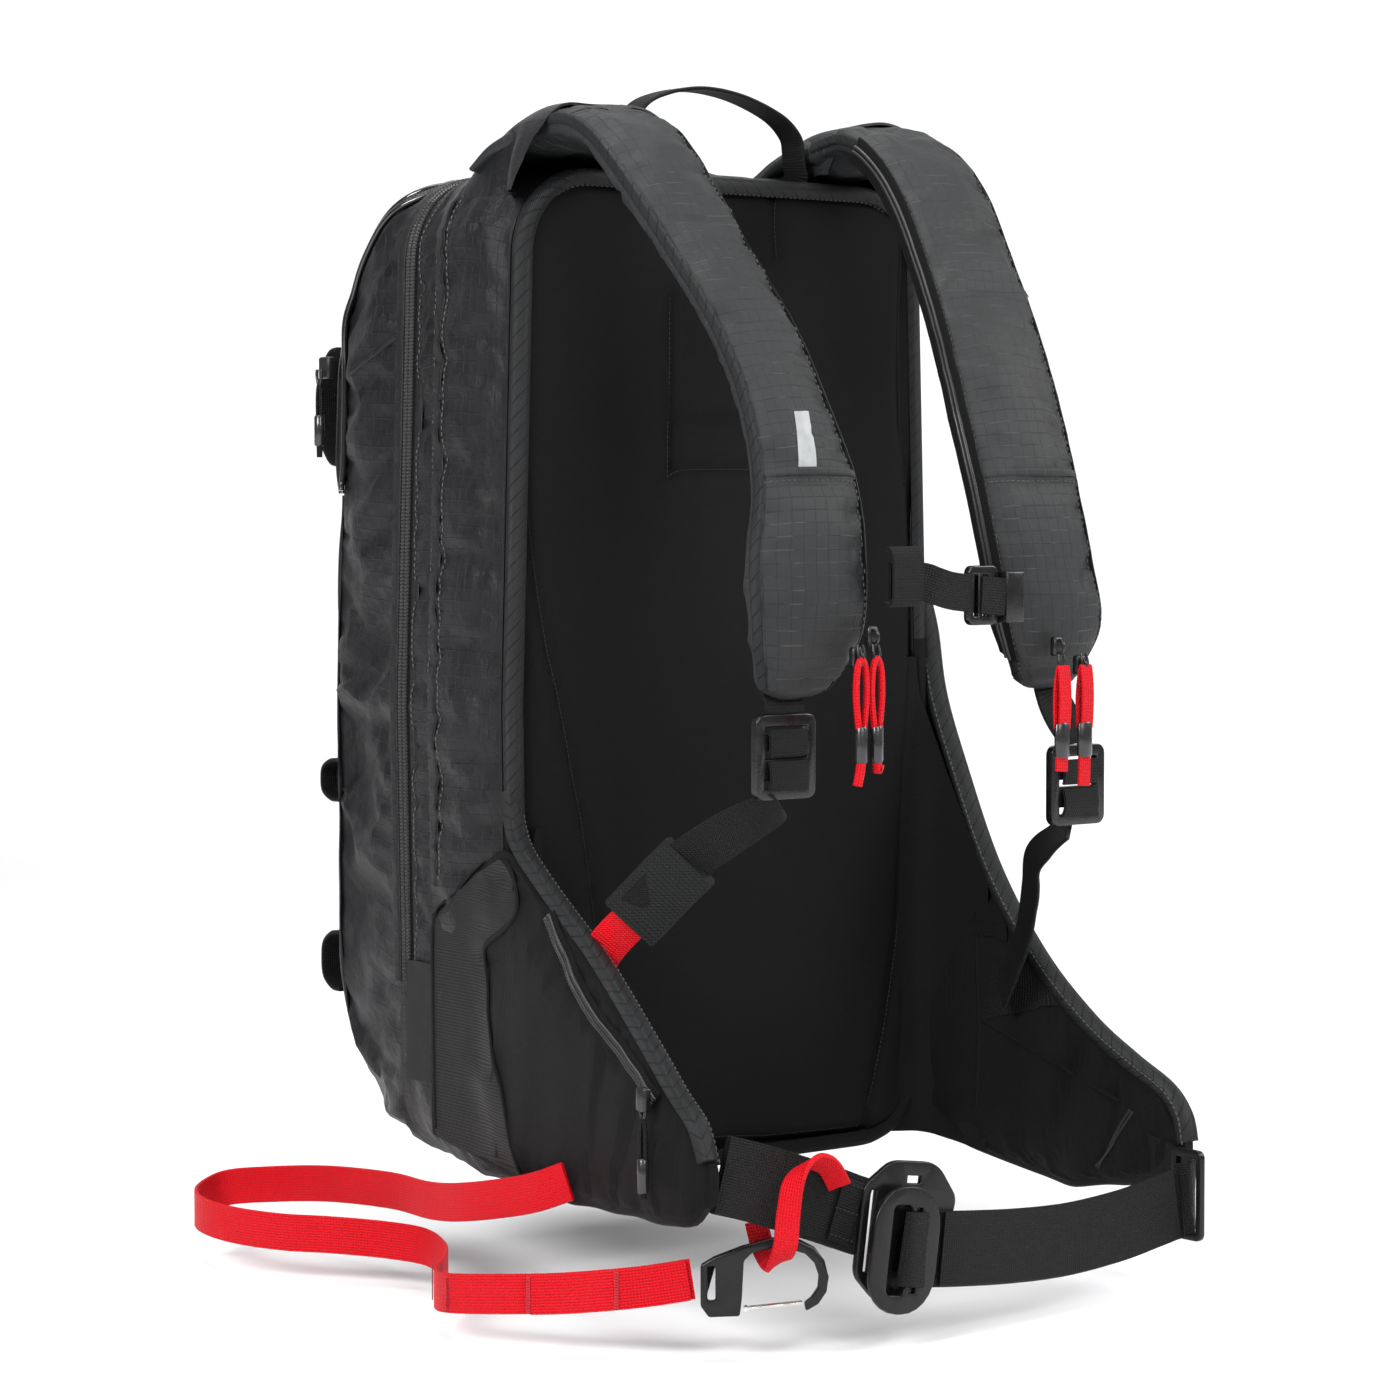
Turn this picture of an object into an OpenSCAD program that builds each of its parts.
// Electric-fan avalanche airbag backpack with a zip-on booster, buckled belt and crotch strap.
// Millimetres. +Z is up, -Y is the wearer's side, +X is to the right of someone facing the straps.
// The origin is the centre of the flat back panel, on the face that lies on the wearer's back.

/* [Pack] */
// Height of the base pack
pack_h = 532; // [500:4:560]
// Width of the base pack across its side walls
pack_w = 290; // [282:2:300]
// Depth of the base pack, from the back panel to the booster
base_d = 104; // [100:2:112]
// Depth of the booster that zips onto the base pack
booster_d = 84; // [70:2:95]
// Thickness of a fabric wall with its lining
wall_t = 3; // [2:0.5:4]
// Thickness of the foam back panel
panel_t = 6; // [4:1:8]

/* [Shoulder straps] */
// Thickness of a padded shoulder strap
strap_t = 18; // [14:1:20]
// Width of the adjuster webbing below the straps
shoulder_web_w = 25; // [20:1:26]

/* [Hip belt] */
// Thickness of a padded hip fin
fin_t = 14; // [10:1:15]
// Width of the belt webbing
belt_w = 38; // [32:1:40]
// Thickness of all flat webbing
web_t = 2; // [1.5:0.25:2.5]
// Width of the crotch strap webbing
leg_web_w = 20; // [18:1:22]
// Thickness of a buckle plate
plate_t = 3.5; // [3:0.5:4]

/* [Airbag fan] */
// Inner radius of the fan housing
fan_r = 40; // [38:1:41]
// Number of impeller blades
blade_n = 7; // [5:1:9]
// Radial running clearance of the impeller's bore on the motor shaft
shaft_gap = 0.05; // [0.03:0.01:0.1]

/* [Hidden] */

// Colours
col_shell = [0.17, 0.175, 0.18];
col_strap = [0.27, 0.28, 0.29];
col_black = [0.08, 0.08, 0.085];
col_web = [0.06, 0.06, 0.065];
col_red = [0.8, 0.03, 0.07];
col_metal = [0.1, 0.1, 0.11];
col_steel = [0.75, 0.76, 0.78];
col_plastic = [0.05, 0.05, 0.055];
col_bag = [0.85, 0.4, 0.08];

// Levels of the pack
top_z = 280;
bottom_z = top_z - pack_h;
half_w = pack_w / 2;
shell_y = panel_t;
booster_y0 = base_d + 0.5;
booster_y1 = booster_y0 + booster_d;
piping_w = 9;
panel_gap = 0.5;

// Hinge lines of the hip fins and of the shoulder harness
hip_x = 155;
hip_y = -82;
harness_y = 4;
harness_z = 295;

// Fan, duct and electronics positions inside the base pack
fan_x = -60;
fan_y = 58;
fan_z0 = -120;
fan_z1 = -22;
fan_wall = 2;
shaft_r = 3;
motor_r = 15;
motor_h = 40;
duct_r = 32;
duct_z1 = 148;
valve_z = 60;
valve_r = 20;
valve_t = 2;
valve_gap = 0.3;
duct_wall = 3;
seat_t = 3;
seat_lap = 3;
valve_pin_x = fan_x - valve_r - 1;
inlet_bend_r = 50;
inlet_r = 30;
box_x0 = 22;
box_x1 = 96;
box_y0 = 34;
box_y1 = 84;
button_r = 6;
button_gap = 0.3;
button_x = 46;
lens_x = 72;
lens_r = 4;
panel_line_z = -60;

// Small vector helpers
function unit(v) = v / norm(v);
function flip(list) = [for (i = [len(list) - 1 : -1 : 0]) list[i]];
function ahead(p, i) = p[min(i + 1, len(p) - 1)] - p[max(i - 1, 0)];
function mirror_x(p) = [for (q = flip(p)) concat([-q[0]], [for (k = [1 : len(q) - 1]) q[k]])];

// Catmull-Rom curve through the points p, with n steps to a span
function curve_at(a, b, c, d, t) =
    0.5 * (2 * b + (c - a) * t + (2 * a - 5 * b + 4 * c - d) * t * t + (3 * b - a - 3 * c + d) * t * t * t);
function curve(p, n) = concat(
    [for (i = [0 : len(p) - 2], k = [0 : n - 1])
        curve_at(p[max(i - 1, 0)], p[i], p[i + 1], p[min(i + 2, len(p) - 1)], k / n)],
    [p[len(p) - 1]]);

// Polygon with rounded corners, from points [x, y, radius]
corner_steps = 6;
function round_corner(a, p, b, r) =
    let (u = unit(a - p), v = unit(b - p), half = acos(u * v) / 2)
    let (c = p + unit(u + v) * r / sin(half), s = p + u * r / tan(half) - c, e = p + v * r / tan(half) - c)
    let (turn = 180 - 2 * half)
    [for (k = [0 : corner_steps])
        c + (s * sin(turn * (1 - k / corner_steps)) + e * sin(turn * k / corner_steps)) / sin(turn)];
function flat2(q) = [q[0], q[1]];
function rounded(p) = [for (i = [0 : len(p) - 1]) each
    round_corner(flat2(p[(i + len(p) - 1) % len(p)]), flat2(p[i]), flat2(p[(i + 1) % len(p)]), p[i][2])];

// Closed outline of a band of thickness t on both sides of a flat path
function side_step(p, i) = let (d = unit(ahead(p, i))) [-d[1], d[0]];
function band(p, t) = concat(
    [for (i = [0 : len(p) - 1]) p[i] + side_step(p, i) * t / 2],
    flip([for (i = [0 : len(p) - 1]) p[i] - side_step(p, i) * t / 2]));
// Closed outline from a path to the same path moved sideways by t
function slab(p, t) = concat(p, flip([for (i = [0 : len(p) - 1]) p[i] + side_step(p, i) * t]));

// Extrusions of a flat outline along each axis
module along_x(x0, x1) { translate([x0, 0, 0]) rotate([90, 0, 90]) linear_extrude(x1 - x0) children(); }
module along_y(y0, y1) { translate([0, y1, 0]) rotate([90, 0, 0]) linear_extrude(y1 - y0) children(); }
module along_z(z0, z1) { translate([0, 0, z0]) linear_extrude(z1 - z0) children(); }

// Flat webbing swept along points, w wide in the direction nearest to wide, t thick
ribbon_sides = 8;
chamfer = 0.3;
function ribbon_ring(p, d, w, t, wide) =
    let (a = unit(wide - d * (wide * d)), b = cross(d, a), c = chamfer * t)
    [for (q = [[w / 2 - c, -t / 2], [w / 2, c - t / 2], [w / 2, t / 2 - c], [w / 2 - c, t / 2],
               [c - w / 2, t / 2], [-w / 2, t / 2 - c], [-w / 2, c - t / 2], [c - w / 2, -t / 2]])
        p + a * q[0] + b * q[1]];
function tube_ring(p, d, r) =
    let (a = unit(cross(d, abs(d[2]) > 0.8 ? [0, 1, 0] : [0, 0, 1])), b = cross(d, a))
    [for (k = [0 : ribbon_sides - 1]) p + a * r * cos(45 * k) + b * r * sin(45 * k)];
module skin(rings) {
    m = ribbon_sides;
    n = len(rings);
    polyhedron(
        points = [for (r = rings) each r],
        faces = concat(
            [[for (k = [0 : m - 1]) k]],
            [[for (k = [m - 1 : -1 : 0]) (n - 1) * m + k]],
            [for (i = [0 : n - 2], k = [0 : m - 1]) each
                [[i * m + k, (i + 1) * m + k, (i + 1) * m + (k + 1) % m],
                 [i * m + k, (i + 1) * m + (k + 1) % m, i * m + (k + 1) % m]]]));
}
module ribbon(p, w, t, wide) {
    skin([for (i = [0 : len(p) - 1]) ribbon_ring(p[i], unit(ahead(p, i)), w, t, wide)]);
}
module tube(p, r) {
    skin([for (i = [0 : len(p) - 1]) tube_ring(p[i], unit(ahead(p, i)), r)]);
}

// Outline of the pack seen along Y, drawn in by inset on every side
function pack_outline(inset) = rounded([
    [-half_w + inset + 4, bottom_z + inset, 44 - inset],
    [half_w - inset - 4, bottom_z + inset, 44 - inset],
    [half_w - inset, 0, 200],
    [half_w - inset - 8, top_z - inset, 44 - inset],
    [-half_w + inset + 8, top_z - inset, 44 - inset],
    [-half_w + inset, 0, 200]]);
// Side profile of the base pack and of the booster
function base_profile(inset) = rounded([
    [shell_y + inset, bottom_z + inset, 2],
    [base_d - inset, bottom_z + inset, 12],
    [base_d - inset, top_z - 4 - inset, 12],
    [shell_y + inset, top_z - inset, 2]]);
function booster_profile(inset, back) = rounded([
    [booster_y0 - back, bottom_z + 6 + inset, 1],
    [booster_y1 - 44, bottom_z + 12 + inset, 30],
    [booster_y1 - inset, bottom_z + 62 + inset, 40],
    [booster_y1 - inset, top_z - 84 - inset, 50],
    [booster_y1 - 46, top_z - 12 - inset, 40],
    [booster_y0 - back, top_z - 6 - inset, 1]]);
function booster_plan(inset) = [
    [-half_w + inset + 2, booster_y0 - 30], [-half_w + inset + 4, booster_y0 + 20],
    [-half_w + inset + 14, booster_y1 + 30], [half_w - inset - 14, booster_y1 + 30],
    [half_w - inset - 4, booster_y0 + 20], [half_w - inset - 2, booster_y0 - 30]];

// ---- Base pack ----
intake_y0 = 30;
intake_y1 = 86;
intake_z0 = -198;
intake_z1 = -142;
module base_solid(inset) {
    intersection() {
        along_y(0, base_d + 10) polygon(pack_outline(inset));
        along_x(-half_w, half_w) polygon(base_profile(inset));
    }
}
module base_shell() {
    color(col_shell) difference() {
        base_solid(0);
        base_solid(wall_t);
        translate([-half_w - 1, intake_y0, intake_z0])
            cube([12, intake_y1 - intake_y0, intake_z1 - intake_z0]);
    }
}
module back_panel() {
    color(col_black) along_y(0, panel_t) polygon(pack_outline(piping_w + panel_gap));
}
module edge_piping() {
    color(col_strap) along_y(-3, panel_t) difference() {
        polygon(pack_outline(0));
        polygon(pack_outline(piping_w));
    }
}
sheet_y = shell_y + wall_t + 1;
sheet_t = 2;
module frame_sheet() {
    color([0.9, 0.9, 0.88]) along_y(sheet_y, sheet_y + sheet_t)
        polygon(rounded([[-112, -228, 20], [112, -228, 20], [96, 236, 30], [-96, 236, 30]]));
}
module frame_stay() {
    color(col_steel) translate([-10, sheet_y + sheet_t, -220]) cube([20, 3, 450]);
}
// The coil zip round the edge where the booster fastens
side_zip_y = 92;
module side_zip() {
    color(col_black) along_y(side_zip_y, side_zip_y + 6) difference() {
        polygon(pack_outline(-2.3));
        polygon(pack_outline(-0.3));
        translate([-100, bottom_z - 20]) square([200, 60]);
        translate([-200, bottom_z - 20]) square([400, 115]);
    }
}

// ---- Airbag system inside the base pack ----
module airbag() {
    color(col_bag) along_x(-112, 112)
        polygon(rounded([[30, 150, 16], [98, 150, 16], [98, 262, 24], [30, 266, 24]]));
}
module outlet_duct() {
    color(col_plastic) translate([fan_x, fan_y, 0]) difference() {
        translate([0, 0, fan_z1]) cylinder(r = duct_r, h = duct_z1 - fan_z1, $fn = 64);
        translate([0, 0, fan_z1 - 1]) cylinder(r = duct_r - duct_wall, h = valve_z - seat_t - fan_z1 + 1, $fn = 64);
        translate([0, 0, valve_z - seat_t - 1]) cylinder(r = valve_r - seat_lap, h = seat_t + 2, $fn = 64);
        translate([0, 0, valve_z]) cylinder(r = duct_r - duct_wall, h = duct_z1 - valve_z + 1, $fn = 64);
    }
}
module valve_flap() {
    color(col_red) union() {
        translate([fan_x, fan_y, valve_z + valve_gap]) cylinder(r = valve_r, h = valve_t, $fn = 64);
        translate([valve_pin_x, fan_y - 6, valve_z + valve_gap]) cube([6, 12, valve_t]);
    }
}
module fan_housing() {
    color(col_plastic) difference() {
        union() {
            difference() {
                translate([fan_x, fan_y, fan_z0]) cylinder(r = fan_r + fan_wall, h = fan_z1 - fan_z0, $fn = 96);
                translate([fan_x, fan_y, fan_z0 - 1])
                    cylinder(r = fan_r, h = fan_z1 - fan_z0 - 1, $fn = 96);
            }
            for (a = [30 : 120 : 270])
                translate([fan_x, fan_y, fan_z0 + 4]) rotate([0, 0, a]) translate([motor_r - 2, -2, 0])
                    cube([fan_r - motor_r + 3, 4, 8]);
        }
        translate([fan_x, fan_y, fan_z0 + 2]) cylinder(r = motor_r, h = motor_h, $fn = 64);
        translate([fan_x, fan_y, fan_z1 - 5]) cylinder(r = duct_r - duct_wall, h = 10, $fn = 64);
    }
}
module fan_motor() {
    color(col_steel) {
        translate([fan_x, fan_y, fan_z0 + 2]) cylinder(r = motor_r, h = motor_h, $fn = 64);
        translate([fan_x, fan_y, fan_z0 + 2 + motor_h]) cylinder(r = shaft_r, h = 18, $fn = 48);
    }
}
impeller_z = fan_z0 + 2 + motor_h + 2;
impeller_h = 24;
module impeller() {
    color([0.2, 0.35, 0.75]) translate([fan_x, fan_y, impeller_z]) difference() {
        union() {
            cylinder(r = 13, h = impeller_h, $fn = 64);
            cylinder(r = fan_r - 3, h = 2, $fn = 64);
            for (k = [0 : blade_n - 1])
                rotate([0, 0, k * 360 / blade_n]) translate([11, 0, 1]) rotate([0, 0, 24]) cube([24, 1.6, 19]);
        }
        translate([0, 0, -1]) cylinder(r = shaft_r + shaft_gap, h = 18, $fn = 48);
    }
}
module inlet_duct() {
    bend_x = fan_x - inlet_bend_r;
    duct_end = -half_w + wall_t + 8;
    color(col_plastic) {
        translate([bend_x, fan_y, fan_z0]) rotate([-90, 0, 0]) rotate_extrude(angle = 90, $fn = 96)
            translate([inlet_bend_r, 0]) difference() {
                circle(r = inlet_r, $fn = 64);
                circle(r = inlet_r - duct_wall, $fn = 64);
            }
        translate([duct_end, fan_y, fan_z0 - inlet_bend_r]) rotate([0, 90, 0]) difference() {
            cylinder(r = inlet_r, h = bend_x - duct_end, $fn = 64);
            translate([0, 0, -1]) cylinder(r = inlet_r - duct_wall, h = bend_x - duct_end + 2, $fn = 64);
        }
    }
}
module intake_mesh() {
    color(col_web) translate([-half_w - 1.6, intake_y0 - 4, intake_z0 - 4])
        cube([1.2, intake_y1 - intake_y0 + 8, intake_z1 - intake_z0 + 8]);
}
module battery_pack() {
    color([0.2, 0.5, 0.3]) along_z(-222, -112)
        polygon(rounded([[box_x0, box_y0, 6], [box_x1, box_y0, 6], [box_x1, box_y1, 6], [box_x0, box_y1, 6]]));
}
module controller_box() {
    color(col_plastic) difference() {
        along_z(-108, -30) polygon(rounded([[box_x0, box_y0, 6], [box_x1, box_y0, 6],
            [box_x1, box_y1, 6], [box_x0, box_y1, 6]]));
        translate([button_x, box_y1 - 5, panel_line_z]) rotate([-90, 0, 0])
            cylinder(r = button_r + button_gap, h = 10, $fn = 48);
        translate([lens_x, box_y1 - 2, panel_line_z]) rotate([-90, 0, 0]) cylinder(r = lens_r, h = 10, $fn = 48);
    }
}
module status_lens() {
    color([0.2, 0.9, 0.3]) translate([lens_x, box_y1 - 2, panel_line_z]) rotate([-90, 0, 0])
        cylinder(r = lens_r, h = 2.6, $fn = 48);
}
module power_button() {
    color([0.7, 0.7, 0.7]) translate([button_x, box_y1 - 2.5, panel_line_z]) rotate([-90, 0, 0])
        cylinder(r = button_r, h = 5, $fn = 48);
}
trigger_route = [[60, 50, -29.4], [60, 50, 0], [74, 42, 50], [92, 26, 110], [118, 24, 170],
                 [120, 24, 215], [108, 26, 245], [96, 30, 272]];
cable_r = 2.5;
module trigger_cable() {
    color(col_web) tube(curve(trigger_route, 4), cable_r);
}

// ---- Hip wings and fins ----
wing_path = [[148, -4], [150, -36], [154, -71]];
fin_path_left = mirror_x([[hip_x, hip_y], [157, -105], [162, -135], [167, -165], [170, -196]]);
fin_path_right = [[hip_x, hip_y], [156, -105], [158, -135], [159, -165], [159, -190]];
fin_outline_left = rounded([[10, -30, 2], [-8, -40, 30], [-80, -112, 60], [-192, -190, 14],
                            [-200, -238, 16], [-80, -250, 60], [10, -246, 2]]);
fin_outline_right = rounded([[10, 30, 2], [-12, -30, 60], [-85, -145, 60], [-186, -208, 18],
                             [-188, -256, 20], [-110, -268, 60], [10, -248, 2]]);
module fin_part(path, outline) {
    intersection() {
        along_z(-320, 100) polygon(band(path, fin_t));
        along_x(-200, 200) polygon(outline);
    }
}
module hip_wing_left() { color(col_black) fin_part(mirror_x(wing_path), fin_outline_left); }
module hip_wing_right() { color(col_black) fin_part(wing_path, fin_outline_right); }
module fin_root(x, outline) {
    intersection() {
        translate([x, hip_y, -320]) cylinder(r = fin_t / 2, h = 420, $fn = 32);
        along_x(-200, 200) polygon(outline);
    }
}
module hip_fin_left() {
    color(col_black) union() {
        fin_part(fin_path_left, fin_outline_left);
        fin_root(-hip_x, fin_outline_left);
    }
}
module hip_fin_right() {
    color(col_black) union() {
        fin_part(fin_path_right, fin_outline_right);
        fin_root(hip_x, fin_outline_right);
    }
}

// ---- Lower shoulder webbing ----
left_web_route = [[-97, -163, -42], [-101, -156, -54], [-111, -138, -68], [-123, -114, -84], [-131, -94, -100]];
left_web_wide = [-0.43, 0.4, 0.72];
module lower_webbing_left() {
    color(col_web) ribbon(curve(left_web_route, 3), shoulder_web_w, web_t, left_web_wide);
}
sleeve_route = [[-117, -129, -82], [-127, -108, -95]];
module elastic_sleeve() {
    color(col_strap) ribbon(sleeve_route, 30, 1.6, left_web_wide);
}
module red_anchor_loop() {
    color(col_red) ribbon(curve([[-132, -89, -105], [-136, -79, -120], [-138, -72, -134], [-138, -66, -150]], 3),
        shoulder_web_w - 5, web_t, [0.55, -0.75, 0.3]);
}
right_web_route = [[104, -160, -62], [103, -146, -72], [108, -128, -84], [120, -112, -104],
                   [129, -98, -126], [135, -82, -148], [137, -72, -162]];
module lower_webbing_right() {
    color(col_web) ribbon(curve(right_web_route, 3), shoulder_web_w, web_t, [0.45, 0.85, 0.1]);
}

// ---- Crotch strap (leg loop), sewn to the left fin and clipped to the belt ----
leg_route = [
    [-166, -80, -232], [-173, -56, -241], [-176, -10, -251], [-168, 36, -258], [-158, 88, -261],
    [-160, 145, -265], [-170, 188, -270], [-188, 208, -273], [-210, 200, -277], [-222, 178, -279],
    [-220, 150, -281], [-208, 120, -282], [-192, 96, -282], [-174, 70, -283], [-166, 44, -284],
    [-178, 10, -285], [-198, -18, -285], [-220, -42, -285], [-227, -64, -283], [-217, -94, -280],
    [-202, -122, -277], [-190, -146, -273], [-174, -158, -271], [-158, -170, -268]];
module leg_loop() {
    color(col_red) ribbon(curve(leg_route, 3), leg_web_w, web_t, [0, 0, 1]);
}

// ---- Booster ----
module booster_solid(inset, back) {
    intersection() {
        along_y(booster_y0 - 20, booster_y1 + 1) polygon(pack_outline(inset + 2));
        along_x(-half_w, half_w) polygon(booster_profile(inset, back));
        along_z(bottom_z - 10, top_z + 10) polygon(booster_plan(inset));
    }
}
module booster_shell() {
    color(col_shell) difference() {
        booster_solid(0, 0);
        booster_solid(wall_t, 10);
    }
}
booster_zip_side = [[-137.6, 172, 140], [-137.6, 172, 170], [-137.6, 172, 200]];
module booster_zip() {
    color(col_black) {
        ribbon(booster_zip_side, 6, 1.5, [0, 1, 0]);
        ribbon(mirror_x(booster_zip_side), 6, 1.5, [0, 1, 0]);
    }
}
loop_x = -128;
loop_w = 22;
loop_d = 14;
module tool_loop(z, h) {
    translate([loop_x, booster_y1 + 0.3, z]) difference() {
        cube([loop_w, loop_d, h]);
        translate([-1, -1, 2 * web_t]) cube([loop_w + 2, loop_d - web_t + 1, h - 4 * web_t]);
    }
}
module tool_loops() {
    color(col_web) {
        tool_loop(126, 66);
        tool_loop(-60, 24);
        tool_loop(-166, 34);
    }
}
// Slider and puller of the booster's zip
module booster_slider() {
    color(col_plastic) translate([-144.2, 167, 174]) cube([5.5, 10, 12]);
}
module booster_puller() {
    color(col_plastic) {
        translate([-148.2, 169.5, 128]) cube([3, 5, 50]);
        translate([-148.2, 172, 178]) rotate([0, 90, 0]) cylinder(r = 3, h = 3.7, $fn = 32);
    }
}
module haul_loop() {
    color(col_web) ribbon(curve([[-60, 12, 296], [-58, 12, 308], [-44, 12, 320], [-16, 12, 327], [14, 12, 325],
        [42, 12, 316], [57, 12, 305], [60, 12, 296]], 3), 18, web_t, [0, 1, 0]);
}

// ---- Shoulder straps ----
strap_front = curve([[harness_y, harness_z + strap_t / 2], [-8, 307], [-26, 308], [-50, 298], [-78, 274], [-108, 238],
                     [-138, 198], [-161, 158], [-176, 118], [-183, 80], [-182, 42], [-172, 14]], 2);
strap_left_face = rounded([[-72, 330, 4], [-62, 288, 30], [-74, 250, 30], [-66, 205, 40], [-64, 160, 40],
                           [-55, 118, 40], [-56, 44, 20], [-74, 8, 12], [-110, 8, 14], [-124, 44, 30],
                           [-127, 80, 40], [-114, 160, 60], [-115, 210, 60], [-126, 262, 30], [-126, 330, 4]]);
strap_right_face = rounded([[70, 330, 4], [62, 288, 30], [46, 230, 60], [28, 170, 60], [27, 112, 40],
                            [34, 66, 30], [58, 8, 12], [98, 8, 14], [108, 44, 30], [94, 108, 60], [97, 171, 60],
                            [110, 230, 60], [126, 288, 30], [124, 330, 4]]);
module strap(face) {
    intersection() {
        along_x(-200, 200) polygon(slab(strap_front, strap_t));
        along_y(-260, 60) polygon(face);
    }
}
// Pocket inside the right strap that the trigger handle runs in
pocket_x = 66;
pocket_w = 17;
pocket_y = -176.4;
pocket_d = 6;
pocket_z0 = 55;
pocket_z1 = 111;
handle_h = 32;
handle_gap = 0.5;
module strap_left() { color(col_strap) strap(strap_left_face); }
module strap_right() {
    color(col_strap) difference() {
        strap(strap_right_face);
        translate([pocket_x, pocket_y, pocket_z0]) cube([pocket_w, pocket_d, pocket_z1 - pocket_z0]);
    }
}
module trigger_handle() {
    color(col_red) translate([pocket_x + handle_gap, pocket_y + handle_gap, pocket_z1 - handle_gap - handle_h])
        cube([pocket_w - 2 * handle_gap, pocket_d - 2 * handle_gap, handle_h]);
}
left_zip_route = [[-54, -54, 282], [-58, -84, 252], [-56, -116, 206], [-57, -146, 160], [-53, -165, 118],
                  [-53, -173, 66]];
right_zip_route = [[57, -54, 282], [39, -106, 226], [22.5, -146, 166], [22.5, -165, 118], [28.5, -173, 66]];
strap_zip_w = 7;
strap_zip_t = 1.4;
module strap_zips() {
    color(col_web) {
        ribbon(curve(left_zip_route, 3), strap_zip_w, strap_zip_t, [0, 0.8, 0.6]);
        ribbon(curve(right_zip_route, 3), strap_zip_w, strap_zip_t, [0, 0.8, 0.6]);
    }
}
left_lock_z = -18;
right_lock_z = -41;
left_lock_x = -96;
right_lock_x = 103;
lock_y = -164;
lock_w = 38;
lock_h = 42;
lock_t = 5;
lock_slot = 3.6;
module strap_tails() {
    color(col_web) {
        ribbon([[left_lock_x, lock_y, 7.6], [left_lock_x, lock_y, left_lock_z + lock_h / 2 + 0.4]],
            shoulder_web_w, web_t, [1, 0, 0]);
        ribbon([[right_lock_x - 18, lock_y, 7.6], [right_lock_x - 9, lock_y, -6], [right_lock_x - 1, lock_y, -14],
                [right_lock_x, lock_y, -17], [right_lock_x, lock_y, right_lock_z + lock_h / 2 + 0.7]],
            shoulder_web_w - 3, web_t, [1, 0, 0]);
    }
}
module ladder_lock(x, z, w) {
    slots = [lock_h / 2 - 6 - lock_slot, lock_h / 2 - 18 - lock_slot, 6 - lock_h / 2];
    color(col_plastic) translate([x, 0, z]) along_y(lock_y - lock_t / 2, lock_y + lock_t / 2) difference() {
        polygon(rounded([[-w / 2, -lock_h / 2, 5], [w / 2, -lock_h / 2, 5], [w / 2, lock_h / 2, 5], [-w / 2, lock_h / 2, 5]]));
        for (s = slots)
            translate([-shoulder_web_w / 2 - 1, s]) square([shoulder_web_w + 2, lock_slot]);
    }
}
module ladder_lock_left() { ladder_lock(left_lock_x, left_lock_z, lock_w); }
module ladder_lock_right() { ladder_lock(right_lock_x, right_lock_z, lock_w); }

// Zip sliders at the foot of each strap, and the red pulls that hang from them
slider_y = -186;
module zip_slider(x, z) { translate([x - 3, slider_y - 4, z]) cube([6, 4, 10]); }
module red_pull(x, z, h) { ribbon([[x, slider_y - 6.4, z], [x, slider_y - 6.4, z - h]], 6, 3, [1, 0, 0]); }
module strap_sliders_left() {
    color(col_plastic) {
        zip_slider(-70, 26);
        zip_slider(-60, 36);
    }
}
module strap_sliders_right() {
    color(col_plastic) {
        zip_slider(66, 28);
        zip_slider(82, 18);
    }
}
module red_pulls_left() {
    color(col_red) {
        red_pull(-70, 34, 66);
        red_pull(-60, 34, 56);
    }
}
module red_pulls_right() {
    color(col_red) {
        red_pull(66, 26, 56);
        red_pull(82, 26, 64);
    }
}

// ---- Sternum strap ----
sternum_w = 18;
module sternum_keeper() {
    color(col_web) translate([-50, -192, 58]) difference() {
        cube([20, 9, 24]);
        translate([3, 1.5, -1]) cube([14, 3.4, 26]);
    }
}
module sternum_webbing() {
    color(col_web) ribbon([[-27, -187.5, 67.5], [-18, -189, 65], [-8, -189, 62.5], [1.5, -188.5, 61.5]],
        sternum_w, web_t, [0, 0, 1]);
}
module sternum_ladder() {
    color(col_plastic) translate([13, 0, 60]) along_y(-190.5, -186) difference() {
        polygon(rounded([[-10, -15, 4], [10, -15, 4], [10, 15, 4], [-10, 15, 4]]));
        translate([-6.6, -10.5]) square([3.4, 21]);
        translate([-0.4, -10.5]) square([3.4, 21]);
    }
}
module sternum_rail_clip() {
    color(col_plastic) translate([25, -195, 46]) difference() {
        cube([12, 8, 26]);
        translate([4, 2.2, -1]) cube([3.4, 3.4, 28]);
    }
}

// ---- Belt, buckle, red loop and carabiner ----
left_belt_route = [[-163, -199, -213], [-146, -203, -218], [-120, -204, -227], [-98, -204.5, -235], [-88, -205, -239]];
module belt_webbing_left() {
    color(col_web) ribbon(curve(left_belt_route, 3), belt_w, web_t, [0.25, 0, 0.97]);
}
hook_x = -54;
hook_z = -252;
ring_x = -62;
ring_z = -259;
hook_y = -209;
ring_y = -217.2;
buckle_tilt = 8;
module buckle_hook_plate() {
    color(col_metal) translate([hook_x, 0, hook_z]) along_y(hook_y, hook_y + plate_t) rotate(-buckle_tilt) difference() {
        polygon(rounded([[-31, -22, 10], [-16, -34, 12], [14, -35, 14], [25, -22, 10], [31, 18, 8],
                         [16, 35, 18], [-14, 35, 16], [-31, 22, 8]]));
        translate([-26, -20]) square([3.6, 40]);
        translate([-3, 24]) square([9, 3.8]);
    }
}
module buckle_ring_plate() {
    color(col_metal) translate([ring_x, 0, ring_z]) along_y(ring_y, ring_y + plate_t) rotate(-buckle_tilt) difference() {
        polygon(rounded([[-21.5, -31.5, 20], [21.5, -31.5, 20], [21.5, 31.5, 20], [-21.5, 31.5, 20]]));
        polygon(rounded([[-10, -22, 3], [2, -22, 3], [2, 22, 3], [-10, 22, 3]]));
        translate([5, -21]) square([3.8, 42]);
    }
}
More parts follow.
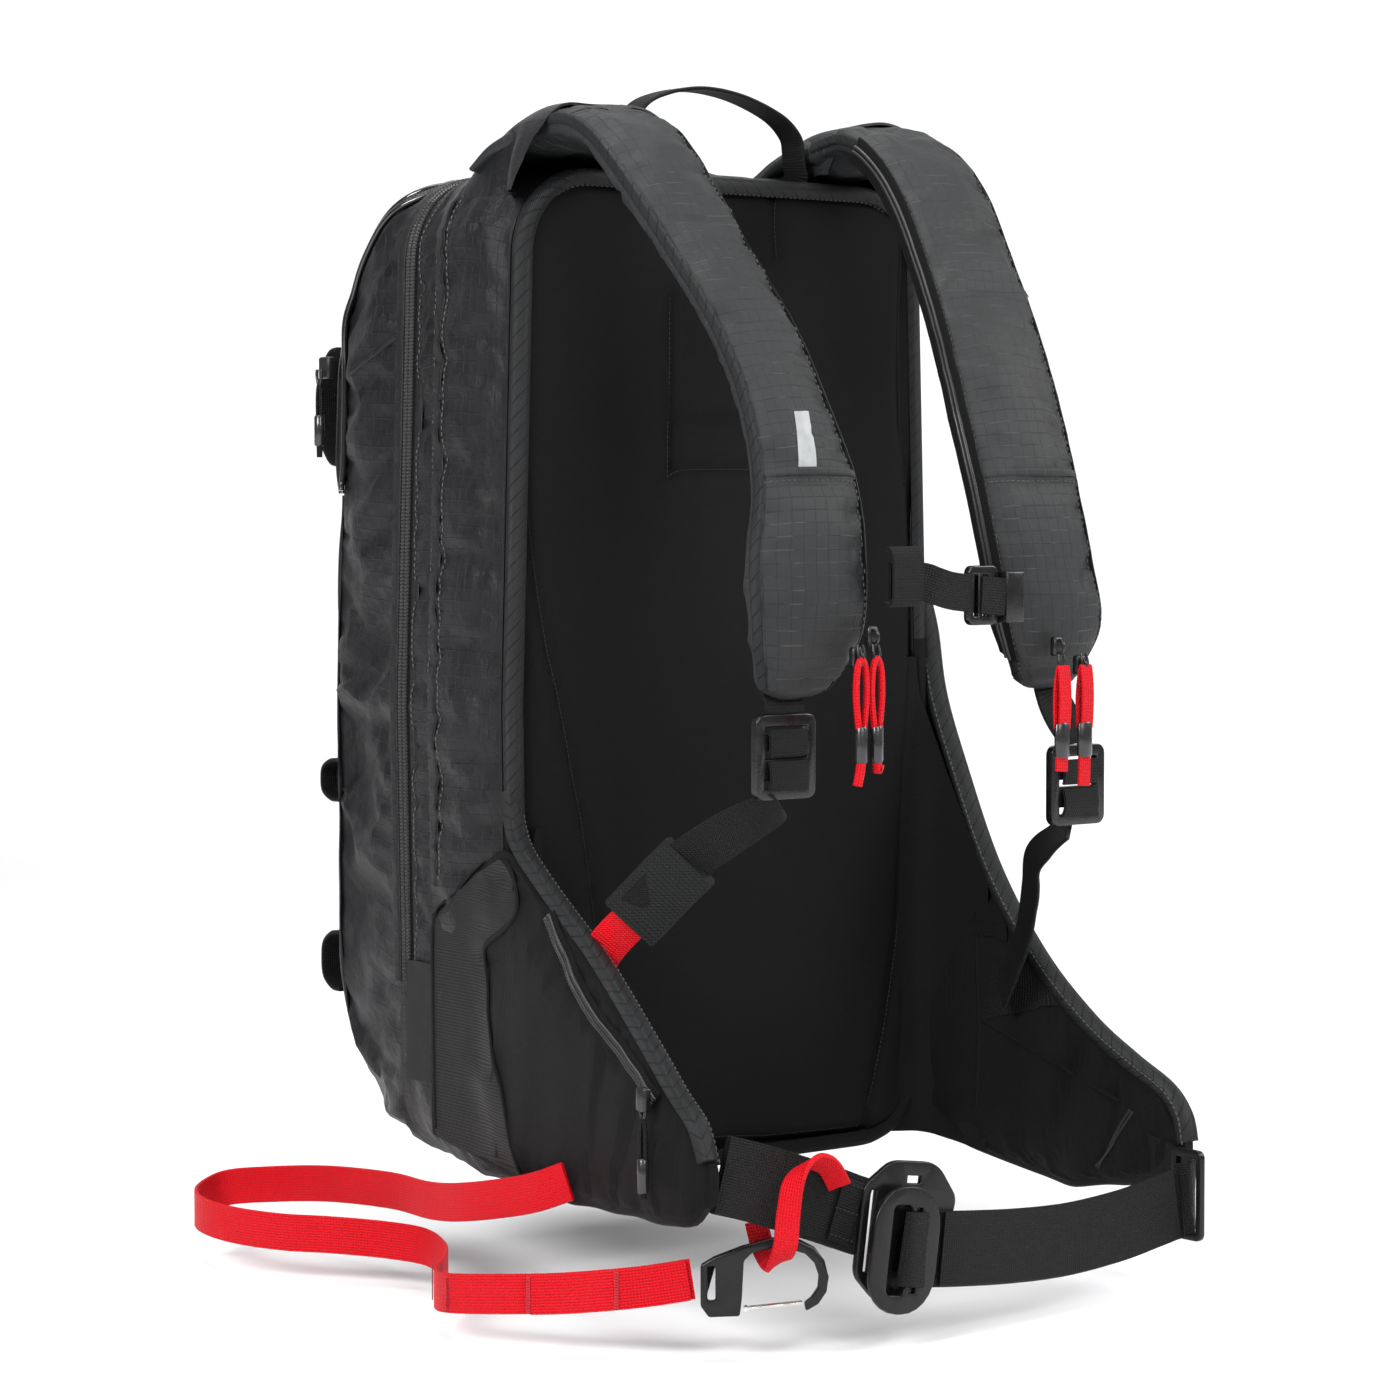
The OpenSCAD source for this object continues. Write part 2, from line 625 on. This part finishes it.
right_belt_route = [[-46, -211.4, -261], [-20, -211, -264], [20, -207.5, -268], [60, -204, -270], [100, -202, -268],
                    [126, -202, -264], [136, -202.6, -262], [143, -203, -261]];
module belt_webbing_right() {
    color(col_web) ribbon(curve(right_belt_route, 3), belt_w, web_t, [0, 0, 1]);
}
module triglide() {
    color(col_metal) translate([0, -203, -257]) along_x(147, 150.5) difference() {
        polygon(rounded([[-11, -24, 4], [11, -24, 4], [11, 24, 4], [-11, 24, 4]]));
        translate([-7.2, -19.5]) square([3.8, 39]);
        translate([3.4, -19.5]) square([3.8, 39]);
    }
}
red_loop_route = [[-98, -209, -224], [-107, -210.5, -213], [-119, -211.5, -210], [-129, -212, -218], [-132, -211, -234],
                  [-130, -206, -251], [-128, -196, -260], [-126, -185, -255], [-128, -182, -242]];
module red_belt_loop() {
    color(col_red) ribbon(curve(red_loop_route, 3), 9, 2.4, [0.8, 0, 0.6]);
}
// The carabiner lies in an upright plane, turned about Z
cara = [-131, -192, -267];
cara_turn = -39;
cara_t = 5;
module in_cara() { translate(cara) rotate([0, 0, cara_turn]) children(); }
cara_frame = [[-31, 6], [-24, 10], [-11, 15], [3, 19], [16, 18.5], [24, 14.5], [29, 8], [31, 0], [30, -7],
              [26, -13], [20, -16.5], [19, -12.5], [22.5, -9.5], [25.5, -5], [26, 1], [24, 7], [19.5, 11.5],
              [13, 13.5], [3, 14], [-6, 12], [-10, 8], [-11, -11], [-12, -19], [-27, -19.5], [-31, -14]];
module carabiner() {
    color(col_metal) in_cara() along_y(-cara_t / 2, cara_t / 2) difference() {
        polygon(cara_frame);
        translate([-27.6, -11.5]) square([3.8, 17]);
    }
}
gate_u = -9;
gate_w = -15.4;
gate_len = 27;
module wire_gate() {
    color(col_steel) in_cara() translate([gate_u, 0, gate_w]) rotate([0, 84, 0]) {
        for (s = [-1, 1]) translate([0, s * 1.1, 0]) cylinder(r = 0.9, h = gate_len, $fn = 24);
        translate([0, 0, gate_len - 0.5]) rotate([90, 0, 0]) cylinder(r = 0.9, h = 3.2, center = true, $fn = 24);
        rotate([90, 0, 0]) cylinder(r = 1.3, h = 4.4, center = true, $fn = 24);
    }
}
// Zip, slider and pull of the pocket on the left fin
pocket_zip_route = [[-168.5, -98, -130], [-171.5, -124, -152], [-175.5, -154, -176]];
module hip_pocket_zip() {
    color(col_web) ribbon(curve(pocket_zip_route, 3), strap_zip_w, strap_zip_t, [0, -0.62, 0.78]);
}
module hip_pocket_slider() {
    color(col_plastic) {
        translate([-182, -163, -186]) cube([4.5, 7, 12]);
        translate([-181.5, -161.5, -230]) cube([3, 4, 45]);
    }
}

// ---- What is drawn ----
base_shell();
back_panel();
edge_piping();
frame_sheet();
frame_stay();
side_zip();
airbag();
outlet_duct();
fan_housing();
fan_motor();
inlet_duct();
intake_mesh();
battery_pack();
controller_box();
status_lens();
trigger_cable();
hip_wing_left();
hip_wing_right();
lower_webbing_left();
elastic_sleeve();
red_anchor_loop();
lower_webbing_right();
leg_loop();
booster_shell();
booster_zip();
tool_loops();
booster_slider();
booster_puller();
impeller();
valve_flap();
power_button();
strap_left();
strap_right();
strap_zips();
strap_tails();
ladder_lock_left();
ladder_lock_right();
strap_sliders_left();
strap_sliders_right();
red_pulls_left();
red_pulls_right();
trigger_handle();
sternum_webbing();
sternum_ladder();
sternum_rail_clip();
sternum_keeper();
hip_fin_left();
belt_webbing_left();
buckle_hook_plate();
red_belt_loop();
carabiner();
wire_gate();
hip_pocket_zip();
hip_pocket_slider();
hip_fin_right();
belt_webbing_right();
triglide();
buckle_ring_plate();
haul_loop();
